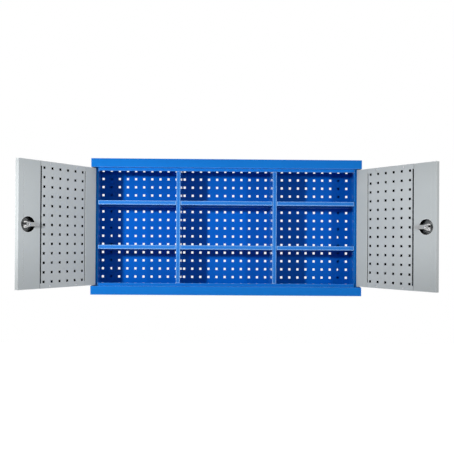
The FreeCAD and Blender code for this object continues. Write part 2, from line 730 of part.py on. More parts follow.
def build_cam_screw(label, placement):
    """Screw that holds the cam on the plug."""
    body = new_body(label)
    seat = plug_length + s.cam_sheet
    shank, head = s.screw_dia / 2, s.screw_head / 2
    turned(body, "Turning", [
        (ZERO, seat - s.screw_length), (shank, seat - s.screw_length), (shank, seat), (head, seat),
        (head, seat + s.screw_head_height / 2), (head / 2, seat + s.screw_head_height),
        (ZERO, seat + s.screw_head_height),
    ])
    body.Placement = placement


def build_door(side, placement, rivet, pin):
    """Everything that swings with one door, its lock included."""
    build_leaf(f"{side}_door_leaf", placement)
    build_door_panel(f"{side}_door_panel", placement)
    rivets = [placement.multiply(move(x, door_inner, z, INTO_CABINET)) for x, z in rivet_places()]
    group(f"{side}_door_rivets", rivet, rivets)
    top_pin = move(pivot_x, pivot_y, door_half - s.sheet)
    upside_down = Rotation(Vector(1, 0, 0), 180)
    bottom_pin = move(pivot_x, pivot_y, s.sheet - door_half, upside_down)
    group(f"{side}_pivot_pins", pin, [placement.multiply(place) for place in (top_pin, bottom_pin)])
    lock_place = placement.multiply(move(lock_x, door_outer, ZERO, INTO_CABINET))
    build_lock_housing(f"{side}_lock_housing", lock_place)
    build_lock_nut(f"{side}_lock_nut", lock_place)
    build_lock_plug(f"{side}_lock_plug", lock_place)
    build_lock_cam(f"{side}_lock_cam", lock_place)
    build_cam_screw(f"{side}_cam_screw", lock_place)


def build_cabinet():
    """Build every sub-part about the case's middle, then bring the wall bolts to the origin."""
    for label, placement in (("top_cap", AT_HOME), ("bottom_cap", HALF_TURN)):
        build_cap(label, placement)
    for side, placement in (("left", AT_HOME), ("right", HALF_TURN)):
        build_side(f"{side}_side", placement)
        build_divider(f"{side}_divider", placement)
    columns = build_back_panel()
    build_wall_rail("left_wall_rail", as_size(columns[1]))
    build_wall_rail("right_wall_rail", as_size(columns[-2]))
    build_shelves()
    build_pivot_bushes()
    rivet, pin = build_rivet(), build_pivot_pin()
    pivot = Vector(pivot_x.value, pivot_y.value, 0)
    swing = Placement(Vector(), Rotation(Vector(0, 0, 1), -s.door_open.value), pivot)
    build_door("left", swing, rivet, pin)
    build_door("right", HALF_TURN.multiply(swing), rivet, pin)
    from_case_middle = move(s.grid_offset, ZERO, ZERO)
    for node in nodes:
        node.Placement = from_case_middle.multiply(node.Placement)


def check_and_write():
    """Stop on any failed object, then write one file for each sub-part."""
    doc.recompute()
    for item in doc.Objects:
        if "Invalid" in item.State or "Error" in item.State:
            raise RuntimeError(f"{item.Label}: {item.State}")
    for node in nodes:
        if node.Shape.isNull() or not node.Shape.isValid() or not node.Shape.Solids:
            raise RuntimeError(f"{node.Label}: bad shape")
    os.makedirs("parts", exist_ok=True)
    for node in nodes:
        node.Shape.exportStep(f"parts/{node.Label}.step")
        box = node.Shape.BoundBox
        print(f"{node.Label}: {len(node.Shape.Solids)} solid, {node.Shape.Volume / 1000:.1f} cm3, "
              f"X {box.XMin:.1f}..{box.XMax:.1f}, Y {box.YMin:.1f}..{box.YMax:.1f}, "
              f"Z {box.ZMin:.1f}..{box.ZMax:.1f}")


build_cabinet()
check_and_write()
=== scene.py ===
import json
import logging
import math
from collections.abc import Callable, Iterable, Sequence
from dataclasses import dataclass, field, replace
from enum import Enum

import bmesh
import bpy
from mathutils import Matrix, Vector


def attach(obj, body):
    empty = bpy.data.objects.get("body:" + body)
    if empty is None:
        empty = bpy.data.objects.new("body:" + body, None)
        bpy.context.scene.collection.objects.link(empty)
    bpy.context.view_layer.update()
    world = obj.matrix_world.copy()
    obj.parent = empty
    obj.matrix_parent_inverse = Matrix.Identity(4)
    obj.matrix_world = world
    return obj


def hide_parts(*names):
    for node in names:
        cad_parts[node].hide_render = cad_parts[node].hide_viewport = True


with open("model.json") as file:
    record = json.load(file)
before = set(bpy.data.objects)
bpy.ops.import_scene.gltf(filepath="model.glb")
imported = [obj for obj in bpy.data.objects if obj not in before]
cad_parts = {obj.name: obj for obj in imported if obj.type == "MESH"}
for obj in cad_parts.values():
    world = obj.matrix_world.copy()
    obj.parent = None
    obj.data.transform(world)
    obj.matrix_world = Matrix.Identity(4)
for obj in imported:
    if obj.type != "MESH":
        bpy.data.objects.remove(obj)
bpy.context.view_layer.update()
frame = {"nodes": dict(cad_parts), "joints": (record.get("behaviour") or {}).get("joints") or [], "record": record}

# Looks of a wall-hung tool cabinet: powder-coated sheet steel, plated locks and rivets, and a white studio.
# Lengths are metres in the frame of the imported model: X to the right, Y into the wall, Z up.

UP = Vector((0.0, 0.0, 1.0))
# A mask's whole range
WHOLE = (0.0, 1.0)
# Corners of the turned pieces that are sharper than this show as edges
SHARP_ANGLE = math.radians(32.0)
# Numbers of a colour Mix node's sockets, whose names are shared with its other kinds
MIX_FACTOR, MIX_FIRST, MIX_SECOND, MIX_RESULT = 0, 6, 7, 2

Colour = tuple[float, float, float]
Span = tuple[float, float]
Ring = Callable[[float], tuple[float, float]]
Vertices = list[bmesh.types.BMVert]
Place = tuple[float, float, float]
Value = float | Sequence[float] | bpy.types.NodeSocket
Inputs = dict[str | int, Value]

log = logging.getLogger("tool_cabinet")


class Side(Enum):
    """The two doors, as seen from the front."""

    LEFT = "left"
    RIGHT = "right"


class Slot(Enum):
    """Material slots of the record."""

    CASE = "case_paint"
    DOOR = "door_paint"
    ZINC = "zinc_steel"
    NICKEL = "lock_nickel"
    NYLON = "bush_nylon"


# Node trees
class Graph:
    """A node tree with short ways to add and join nodes."""

    def __init__(self, tree: bpy.types.NodeTree) -> None:
        """Empty the tree and keep it."""
        self.tree = tree
        self.tree.nodes.clear()

    def node(self, kind: str, values: Inputs | None = None, **settings: object) -> bpy.types.Node:
        """Add one node.

        Args:
            kind: The shader node's type, without its prefix, or a type that starts with "Node".
            values: Inputs by name or number, each a constant or the socket that feeds it.
            settings: The node's own properties.

        Returns:
            The new node.
        """
        made = self.tree.nodes.new(kind if kind.startswith("Node") else f"ShaderNode{kind}")
        for name, setting in settings.items():
            setattr(made, name, setting)
        for socket, value in (values or {}).items():
            if isinstance(value, bpy.types.NodeSocket):
                self.tree.links.new(value, made.inputs[socket])
            else:
                made.inputs[socket].default_value = value
        return made

    def math(self, operation: str, *values: Value, clamp: bool = False) -> bpy.types.NodeSocket:
        """Add a Math node and return its result."""
        return self.node("Math", dict(enumerate(values)), operation=operation, use_clamp=clamp).outputs[0]

    def ramp(self, value: Value, before: Span, after: Span) -> bpy.types.NodeSocket:
        """Map one range of a value to another, clamped, and return the result."""
        limits = {"Value": value, "From Min": before[0], "From Max": before[1],
                  "To Min": after[0], "To Max": after[1]}
        return self.node("MapRange", limits).outputs[0]

    def mix(self, factor: Value, first: Value, second: Value) -> bpy.types.NodeSocket:
        """Mix two colours and return the result."""
        values = {MIX_FACTOR: factor, MIX_FIRST: first, MIX_SECOND: second}
        return self.node("Mix", values, data_type="RGBA").outputs[MIX_RESULT]

    def noise(self, place: Value, scale: Value, detail: float) -> bpy.types.NodeSocket:
        """Add a noise texture and return its value."""
        return self.node("TexNoise", {"Vector": place, "Scale": scale, "Detail": detail}).outputs[0]


def opaque(colour: Colour) -> tuple[float, float, float, float]:
    """A colour with full alpha, as sockets take it."""
    return (*colour, 1.0)


# Effects that several finishes share
class Effect:
    """A shader node group, built once and placed in each material that shows the effect."""

    name: str
    inputs: dict[str, float] = {}
    outputs: dict[str, str] = {}

    def __init__(self) -> None:
        """Make the group with its named sockets and draw its nodes."""
        self.group = bpy.data.node_groups.new(self.name, "ShaderNodeTree")
        for label, usual in self.inputs.items():
            socket = self.group.interface.new_socket(label, in_out="INPUT", socket_type="NodeSocketFloat")
            socket.default_value = usual
        for label, kind in self.outputs.items():
            self.group.interface.new_socket(label, in_out="OUTPUT", socket_type=f"NodeSocket{kind}")
        graph = Graph(self.group)
        given = graph.node("NodeGroupInput").outputs
        graph.node("NodeGroupOutput", self.draw(graph, given))

    def draw(self, graph: Graph, given: bpy.types.NodeOutputs) -> Inputs:
        """Draw the effect.

        Args:
            graph: The group's nodes.
            given: The group's inputs.

        Returns:
            The sockets that feed the group's outputs, by name.
        """
        raise NotImplementedError

    def place(self, graph: Graph, values: Inputs | None = None) -> bpy.types.NodeOutputs:
        """Place the effect in a material, with its own input values, and return its outputs."""
        return graph.node("Group", values, node_tree=self.group).outputs


class PowderGrain(Effect):
    """Orange-peel bumps of a baked powder coat, and a slow drift of its thickness."""

    name = "powder_grain"
    inputs = {"Scale": 900.0, "Drift": 6.0}
    outputs = {"Height": "Float", "Tone": "Float"}
    bump_detail: float = 2.0
    drift_detail: float = 3.0
    drift_range: Span = (0.3, 0.7)

    def draw(self, graph: Graph, given: bpy.types.NodeOutputs) -> Inputs:
        """Draw fine noise for the bumps and broad noise for the drift.

        Args:
            graph: The group's nodes.
            given: The group's inputs.

        Returns:
            The sockets that feed the group's outputs, by name.
        """
        place = graph.node("TexCoord").outputs["Object"]
        height = graph.noise(place, given["Scale"], self.bump_detail)
        drift = graph.noise(place, given["Drift"], self.drift_detail)
        tone = graph.ramp(drift, self.drift_range, WHOLE)
        return {"Height": height, "Tone": tone}


class EdgeHighlight(Effect):
    """Soft edges with a painted highlight: a mask of outer edges, where a paler colour is painted, and normals
    that round them.
    """

    name = "painted_edge_highlight"
    inputs = {"Radius": 0.0008, "Reach": 0.0008, "Corner": 0.006}
    outputs = {"Mask": "Float", "Normal": "Vector"}
    rounding_samples: int = 4
    mask_samples: int = 8
    agreement_range: Span = (0.999, 0.94)
    openness_range: Span = (0.75, 0.95)

    def draw(self, graph: Graph, given: bpy.types.NodeOutputs) -> Inputs:
        """Compare the normals of a wider rounding with the true ones, and leave out inside corners.

        Args:
            graph: The group's nodes.
            given: The group's inputs.

        Returns:
            The sockets that feed the group's outputs, by name.
        """
        rounding = graph.node("Bevel", {"Radius": given["Radius"]}, samples=self.rounding_samples)
        wider = graph.node("Bevel", {"Radius": given["Reach"]}, samples=self.mask_samples).outputs["Normal"]
        true = graph.node("NewGeometry").outputs["Normal"]
        agreement = graph.node("VectorMath", {0: wider, 1: true}, operation="DOT_PRODUCT").outputs["Value"]
        edge = graph.ramp(agreement, self.agreement_range, WHOLE)
        openness = graph.node("AmbientOcclusion", {"Distance": given["Corner"]}, samples=self.mask_samples)
        outer = graph.ramp(openness.outputs["AO"], self.openness_range, WHOLE)
        return {"Mask": graph.math("MULTIPLY", edge, outer), "Normal": rounding.outputs["Normal"]}


class SettledDust(Effect):
    """Thin dust on faces that look up."""

    name = "settled_dust"
    inputs = {"Amount": 0.1}
    outputs = {"Mask": "Float"}
    upward_range: Span = (0.8, 0.98)
    patch_scale: float = 22.0
    patch_detail: float = 5.0
    patch_range: Span = (0.35, 0.75)
    patch_limits: Span = (0.2, 1.0)

    def draw(self, graph: Graph, given: bpy.types.NodeOutputs) -> Inputs:
        """Mask level faces and break the mask up with noise.

        Args:
            graph: The group's nodes.
            given: The group's inputs.

        Returns:
            The sockets that feed the group's outputs, by name.
        """
        normal = graph.node("NewGeometry").outputs["Normal"]
        upward = graph.ramp(graph.node("SeparateXYZ", {0: normal}).outputs["Z"], self.upward_range, WHOLE)
        place = graph.node("TexCoord").outputs["Object"]
        noise = graph.noise(place, self.patch_scale, self.patch_detail)
        patches = graph.ramp(noise, self.patch_range, self.patch_limits)
        return {"Mask": graph.math("MULTIPLY", graph.math("MULTIPLY", upward, patches), given["Amount"])}


class HollowShade(Effect):
    """Painted shade in hollows: a mask of faces that see little of their surroundings, where a dark colour is
    painted.
    """

    name = "painted_hollow_shade"
    inputs = {"Reach": 0.12}
    outputs = {"Mask": "Float"}
    samples: int = 8
    openness_range: Span = (0.62, 0.40)

    def draw(self, graph: Graph, given: bpy.types.NodeOutputs) -> Inputs:
        """Mask faces that see little of their surroundings.

        Args:
            graph: The group's nodes.
            given: The group's inputs.

        Returns:
            The sockets that feed the group's outputs, by name.
        """
        openness = graph.node("AmbientOcclusion", {"Distance": given["Reach"]}, samples=self.samples)
        return {"Mask": graph.ramp(openness.outputs["AO"], self.openness_range, WHOLE)}


class FineScratches(Effect):
    """Fine lines of ground or handled metal."""

    name = "fine_scratches"
    inputs = {"Scale": 1800.0}
    outputs = {"Value": "Float"}
    stretch: Place = (1.0, 1.0, 0.06)
    detail: float = 4.0

    def draw(self, graph: Graph, given: bpy.types.NodeOutputs) -> Inputs:
        """Stretch noise along the height.

        Args:
            graph: The group's nodes.
            given: The group's inputs.

        Returns:
            The sockets that feed the group's outputs, by name.
        """
        place = graph.node("TexCoord").outputs["Object"]
        drawn_out = graph.node("Mapping", {"Vector": place, "Scale": self.stretch}).outputs["Vector"]
        return {"Value": graph.noise(drawn_out, given["Scale"], self.detail)}


class Effects:
    """All the shared effects."""

    def __init__(self) -> None:
        """Build each group once."""
        self.grain = PowderGrain()
        self.edges = EdgeHighlight()
        self.dust = SettledDust()
        self.hollows = HollowShade()
        self.scratches = FineScratches()


# Finishes
def finish_with(graph: Graph, values: Inputs) -> None:
    """End a material in a Principled shader with the given inputs."""
    shader = graph.node("BsdfPrincipled", values)
    graph.node("OutputMaterial", {"Surface": shader.outputs["BSDF"]})


def new_material(name: str) -> tuple[bpy.types.Material, Graph]:
    """A material with an empty node tree.

    Args:
        name: The material's name.

    Returns:
        The material and its nodes.
    """
    material = bpy.data.materials.new(name)
    material.use_nodes = True
    return material, Graph(material.node_tree)


@dataclass(frozen=True)
class PowderCoat:
    """Semi-gloss powder coat on sheet steel."""

    name: str
    colour: Colour
    deep: Colour
    # Paler colour painted along outer edges, a painted highlight
    edge: Colour
    roughness: Span = (0.34, 0.42)
    shine: float = 0.02
    gloss: float = 1.0
    gloss_blur: float = 0.10
    grain: float = 900.0
    grain_depth: float = 0.00005
    grain_strength: float = 0.25
    edge_radius: float = 0.0004
    edge_reach: float = 0.0025
    # Dark colour painted in hollows, a painted shade
    hollow: Colour = (0.010, 0.011, 0.012)
    hollow_reach: float = 0.0
    dust: float = 0.03
    dust_colour: Colour = (0.55, 0.56, 0.56)

    def material(self, effects: Effects) -> bpy.types.Material:
        """Build the material.

        Args:
            effects: The shared effects.

        Returns:
            The new material.
        """
        made, graph = new_material(self.name)
        grain = effects.grain.place(graph, {"Scale": self.grain})
        edges = effects.edges.place(graph, {"Radius": self.edge_radius, "Reach": self.edge_reach})
        dust = effects.dust.place(graph, {"Amount": self.dust})
        colour = graph.mix(grain["Tone"], opaque(self.colour), opaque(self.deep))
        # Painted highlight: a paler colour along outer edges
        colour = graph.mix(edges["Mask"], colour, opaque(self.edge))
        colour = graph.mix(dust["Mask"], colour, opaque(self.dust_colour))
        # Painted shade: a dark colour in hollows
        if self.hollow_reach:
            shade = effects.hollows.place(graph, {"Reach": self.hollow_reach})
            colour = graph.mix(shade["Mask"], colour, opaque(self.hollow))
        bumps = graph.node("Bump", {"Strength": self.grain_strength, "Distance": self.grain_depth,
                                    "Height": grain["Height"], "Normal": edges["Normal"]})
        finish_with(graph, {
            "Base Color": colour,
            "Roughness": graph.ramp(grain["Tone"], WHOLE, self.roughness),
            "Specular IOR Level": self.shine,
            "Coat Weight": self.gloss,
            "Coat Roughness": self.gloss_blur,
            "Normal": bumps.outputs["Normal"],
        })
        return made


@dataclass(frozen=True)
class PlatedMetal:
    """Plated steel, bright or zinc grey."""

    name: str
    colour: Colour
    dull: Colour
    roughness: Span
    scratch: float = 1800.0
    wear_range: Span = (0.35, 0.7)
    scratch_range: Span = (0.3, 0.7)
    edge_radius: float = 0.0004

    def material(self, effects: Effects) -> bpy.types.Material:
        """Build the material.

        Args:
            effects: The shared effects.

        Returns:
            The new material.
        """
        made, graph = new_material(self.name)
        lines = effects.scratches.place(graph, {"Scale": self.scratch})
        edges = effects.edges.place(graph, {"Radius": self.edge_radius})
        worn = graph.ramp(lines["Value"], self.wear_range, WHOLE)
        colour = graph.mix(worn, opaque(self.colour), opaque(self.dull))
        # Painted highlight: outer edges keep the bright plate colour
        colour = graph.mix(edges["Mask"], colour, opaque(self.colour))
        finish_with(graph, {
            "Base Color": colour,
            "Metallic": 1.0,
            "Roughness": graph.ramp(lines["Value"], self.scratch_range, self.roughness),
            "Normal": edges["Normal"],
        })
        return made


@dataclass(frozen=True)
class MouldedNylon:
    """Moulded nylon with a fine matt grain."""

    name: str
    colour: Colour
    pale: Colour
    roughness: Span = (0.42, 0.56)
    grain: float = 2600.0
    grain_range: Span = (0.3, 0.7)
    grain_depth: float = 0.00005
    grain_strength: float = 0.3
    drift: float = 60.0
    edge_radius: float = 0.0003

    def material(self, effects: Effects) -> bpy.types.Material:
        """Build the material.

        Args:
            effects: The shared effects.

        Returns:
            The new material.
        """
        made, graph = new_material(self.name)
        grain = effects.grain.place(graph, {"Scale": self.grain, "Drift": self.drift})
        edges = effects.edges.place(graph, {"Radius": self.edge_radius})
        colour = graph.mix(grain["Tone"], opaque(self.colour), opaque(self.pale))
        bumps = graph.node("Bump", {"Strength": self.grain_strength, "Distance": self.grain_depth,
                                    "Height": grain["Height"], "Normal": edges["Normal"]})
        finish_with(graph, {
            "Base Color": colour,
            "Roughness": graph.ramp(grain["Height"], self.grain_range, self.roughness),
            "Normal": bumps.outputs["Normal"],
        })
        return made


Finish = PowderCoat | PlatedMetal | MouldedNylon

# The edge colours are painted highlights along outer edges; GREY's hollow colour is painted shade inside the door
# leaf
BLUE = PowderCoat(
    "blue_powder_coat", colour=(0.004, 0.185, 0.650), deep=(0.003, 0.170, 0.620), edge=(0.240, 0.480, 0.900))
GREY = PowderCoat(
    "grey_powder_coat", colour=(0.480, 0.515, 0.525), deep=(0.460, 0.495, 0.505), edge=(0.720, 0.745, 0.750),
    edge_reach=0.0030, hollow_reach=0.12)
FINISHES = {
    Slot.CASE: BLUE,
    Slot.DOOR: GREY,
    Slot.ZINC: PlatedMetal(
        "zinc_plate", colour=(0.860, 0.860, 0.860), dull=(0.700, 0.700, 0.700), roughness=(0.22, 0.38)),
    Slot.NICKEL: PlatedMetal(
        "nickel_plate", colour=(0.860, 0.860, 0.860), dull=(0.720, 0.720, 0.720), roughness=(0.10, 0.22)),
    Slot.NYLON: MouldedNylon("black_nylon", colour=(0.030, 0.031, 0.033), pale=(0.050, 0.051, 0.054)),
}
# Lit and shaded copies of the blue coat: caps are painted paler, narrow folds are painted paler and whiter,
# a painted sheen, with a wider painted edge highlight, and the perforated back is painted deeper,
# a painted shade of the recess. The perforated sheets get no painted edge highlight round their sharp holes.
BLUE_CAP = replace(BLUE, name="blue_cap_coat", colour=(0.009, 0.207, 0.715), deep=(0.008, 0.192, 0.685))
BLUE_FOLD = replace(
    BLUE, name="blue_fold_coat", colour=(0.028, 0.200, 0.650), deep=(0.024, 0.185, 0.620), edge_reach=0.0052)
BLUE_SHEET = replace(
    BLUE, name="blue_sheet_coat", colour=(0.002, 0.142, 0.640), deep=(0.002, 0.132, 0.610),
    edge=(0.002, 0.142, 0.640), edge_reach=0.0004)
# The perforated door panel is painted paler than the leaf, painted light that stands in for more even lamp light
GREY_SHEET = replace(
    GREY, name="grey_sheet_coat", colour=(0.510, 0.545, 0.560), deep=(0.490, 0.525, 0.540),
    edge=(0.510, 0.545, 0.560), edge_reach=0.0004)
DULL_CAM = PlatedMetal(
    "cam_plate", colour=(0.520, 0.530, 0.530), dull=(0.420, 0.430, 0.430), roughness=(0.24, 0.38))
NODE_FINISHES = {
    "back_panel": BLUE_SHEET,
    "door_panel": GREY_SHEET,
    "cap": BLUE_CAP,
    "divider": BLUE_FOLD,
    "shelf": BLUE_FOLD,
    "lock_cam": DULL_CAM,
}


class Paintbox:
    """The finishes as materials, each built when it is first used."""

    def __init__(self) -> None:
        """Build the shared effects."""
        self.effects = Effects()
        self.made: dict[str, bpy.types.Material] = {}

    def material(self, finish: Finish) -> bpy.types.Material:
        """The material of a finish.

        Args:
            finish: The finish.

        Returns:
            Its material, which is the same at each call.
        """
        if finish.name not in self.made:
            self.made[finish.name] = finish.material(self.effects)
        return self.made[finish.name]


# Pieces
def joint(name: str) -> dict:
    """The record's joint of that name."""
    return next(found for found in frame["joints"] if found["name"] == name)


def paint_node(name: str, paints: Paintbox) -> None:
    """Give a CAD node the finish of its kind, or else that of its slot in the record.

    Args:
        name: The node's name.
        paints: The materials.
    """
    part = next(found for found in frame["record"]["subparts"] if found["node"] == name)
    usual = FINISHES[Slot(part["material_slot"])]
    finish = next((coat for kind, coat in NODE_FINISHES.items() if name.endswith(kind)), usual)
    material = paints.material(finish)
    for place in frame["nodes"][name].material_slots:
        place.material = material
    log.info("%s: %s", name, material.name)


@dataclass
class DoorAxes:
    """A door's own axes at rest: from the hinge to the free edge, out of the inner face, and up."""

    side: Side
    pivot: Vector = field(init=False)
    lock: Vector = field(init=False)
    along: Vector = field(init=False)
    out: Vector = field(init=False)

    def __post_init__(self) -> None:
        """Read the axes from the joints."""
        turn = joint(f"{self.side.value}_lock_turn")
        self.pivot = Vector(joint(f"{self.side.value}_door_hinge")["pos_m"])
        self.lock = Vector(turn["pos_m"])
        self.along = (self.lock - self.pivot).normalized()
        self.out = Vector(turn["axis"]).normalized()

    def node_span(self, node: str) -> tuple[Span, Span, Span]:
        """How far a CAD node reaches from the pivot.

        Args:
            node: The node's name.

        Returns:
            Its least and greatest reach along the door, out of the inner face, and up.
        """
        spans = []
        for axis in (self.along, self.out, UP):
            reach = [(vertex.co - self.pivot).dot(axis) for vertex in frame["nodes"][node].data.vertices]
            spans.append((min(reach), max(reach)))
        return tuple(spans)

    def at(self, along: float, out: float, up: float) -> Matrix:
        """Place of a piece whose local Z points out of the door's inner face.

        Args:
            along: From the pivot towards the free edge.
            out: From the pivot out of the inner face.
            up: Height over the pivot's middle.

        Returns:
            The piece's matrix.
        """
        where = self.pivot + self.along * along + self.out * out + UP * up
        turned = Matrix((self.along, self.out.cross(self.along), self.out)).transposed()
        return Matrix.Translation(where) @ turned.to_4x4()

    @property
    def lock_along(self) -> float:
        """The lock's axis from the pivot."""
        return (self.lock - self.pivot).length


def level(radius: float, height: float) -> Ring:
    """A round ring."""
    return lambda angle: (radius, height)


def add_ring(form: bmesh.types.BMesh, ring: Ring, place: Matrix, steps: int) -> Vertices:
    """Add the vertices of one ring about local Z.

    Args:
        form: The mesh that gets them.
        ring: Radius and height at each angle.
        place: Place of the ring's axis.
        steps: Number of vertices.

    Returns:
        The vertices in order, or a single one for a ring without radius.
    """
    made = []
    for step in range(steps if ring(0.0)[0] > 0.0 else 1):
        angle = math.tau * step / steps
        radius, height = ring(angle)
        local = Vector((radius * math.cos(angle), radius * math.sin(angle), height))
        made.append(form.verts.new(place @ local))
    return made


def bridge(form: bmesh.types.BMesh, first: Vertices, second: Vertices) -> None:
    """Add the faces between two rings, either of which may be a single vertex.

    Args:
        form: The mesh that gets them.
        first: Vertices of one ring.
        second: Vertices of the other.
    """
    count = max(len(first), len(second))
    for step in range(count):
        following = (step + 1) % count
        corners = [first[step % len(first)], first[following % len(first)],
                   second[following % len(second)], second[step % len(second)]]
        form.faces.new(list(dict.fromkeys(corners)))


def turn_profile(form: bmesh.types.BMesh, profile: Sequence[Ring], place: Matrix, steps: int = 48,
                 closed: bool = False) -> Vertices:
    """Turn a profile about local Z.

    Args:
        form: The mesh that gets the faces.
        profile: Rings in order.
        place: Place of the axis.
        steps: Vertices in each ring.
        closed: Whether the last ring is joined to the first.

    Returns:
        The last ring's vertices.
    """
    rings = [add_ring(form, ring, place, steps) for ring in profile]
    for first, second in zip(rings, rings[1:]):
        bridge(form, first, second)
    if closed:
        bridge(form, rings[-1], rings[0])
    return rings[-1]


def dome(radius: float, height: float, base: float, inner: float, steps: int) -> list[Ring]:
    """Rings of a crowned head, from an inner radius out to its rim.

    Args:
        radius: The rim's radius.
        height: The crown's height over the rim.
        base: The rim's height.
        inner: Radius of the first ring.
        steps: Number of bands.

    Returns:
        The rings in order.
    """
    ball = (radius ** 2 + height ** 2) / (2.0 * height)
    radii = [inner + (radius - inner) * step / steps for step in range(steps + 1)]
    return [level(r, base + height - ball + math.sqrt(ball ** 2 - r ** 2)) for r in radii]


def as_piece(form: bmesh.types.BMesh, name: str, body: str, slot: Slot, node: str, paints: Paintbox) -> None:
    """Turn a form into a piece that rides on a body in place of a CAD node.

    Args:
        form: The finished form, which is used up.
        name: The piece's name.
        body: The body that it rides on.
        slot: Its material slot.
        node: The CAD node that it replaces.
        paints: The materials.
    """
    bmesh.ops.recalc_face_normals(form, faces=form.faces)
    mesh = bpy.data.meshes.new(name)
    form.to_mesh(mesh)
    form.free()
    mesh.shade_smooth()
    mesh.set_sharp_from_angle(angle=SHARP_ANGLE)
    mesh.materials.append(paints.material(FINISHES[slot]))
    piece = bpy.data.objects.new(name, mesh)
    bpy.context.scene.collection.objects.link(piece)
    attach(piece, body)
    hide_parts(node)
    log.info("%s: new piece on %s", name, body)


@dataclass
class Case:
    """The fixed case: caps, walls, dividers, perforated back, rails, shelves, brackets and bushes."""

    body: str = "cabinet"

    def dress(self, paints: Paintbox) -> None:
        """Paint every node of the case."""
        for name in frame["record"]["behaviour"]["bodies"][self.body]:
            paint_node(name, paints)


@dataclass
class Door:
    """One door: folded leaf, perforated panel, pins and rivets."""

    side: Side
    rivet_head: float = 0.0032
    rivet_crown: float = 0.0013
    rivet_shank: float = 0.0020
    rivet_pit: float = 0.0009
    pit_depth: float = 0.0006
    dome_steps: int = 6
    round_steps: int = 32

    def dress(self, paints: Paintbox) -> None:
        """Paint the leaf, the panel and the pins."""
        for part in ("door_leaf", "door_panel", "pivot_pins"):
            paint_node(f"{self.side.value}_{part}", paints)

    def build_rivets(self, paints: Paintbox) -> None:
        """Four blind rivets, each with a crowned head and the pit that its mandrel leaves.

        Args:
            paints: The materials.
        """
        axes = DoorAxes(self.side)
        node = f"{self.side.value}_door_rivets"
        (near, far), (tail, top), (low, high) = axes.node_span(node)
        base = top - self.rivet_crown
        pit = self.rivet_crown - self.pit_depth
        profile = [level(0.0, pit), level(self.rivet_pit, pit)]
        profile += dome(self.rivet_head, self.rivet_crown, 0.0, self.rivet_pit, self.dome_steps)
        end = tail - base
        profile += [level(self.rivet_shank, 0.0), level(self.rivet_shank, end), level(0.0, end)]
        form = bmesh.new()
        for along in (near + self.rivet_head, far - self.rivet_head):
            for up in (low + self.rivet_head, high - self.rivet_head):
                turn_profile(form, profile, axes.at(along, base, up), self.round_steps)
        as_piece(form, f"{self.side.value}_blind_rivets", f"{self.side.value}_door", Slot.ZINC, node, paints)


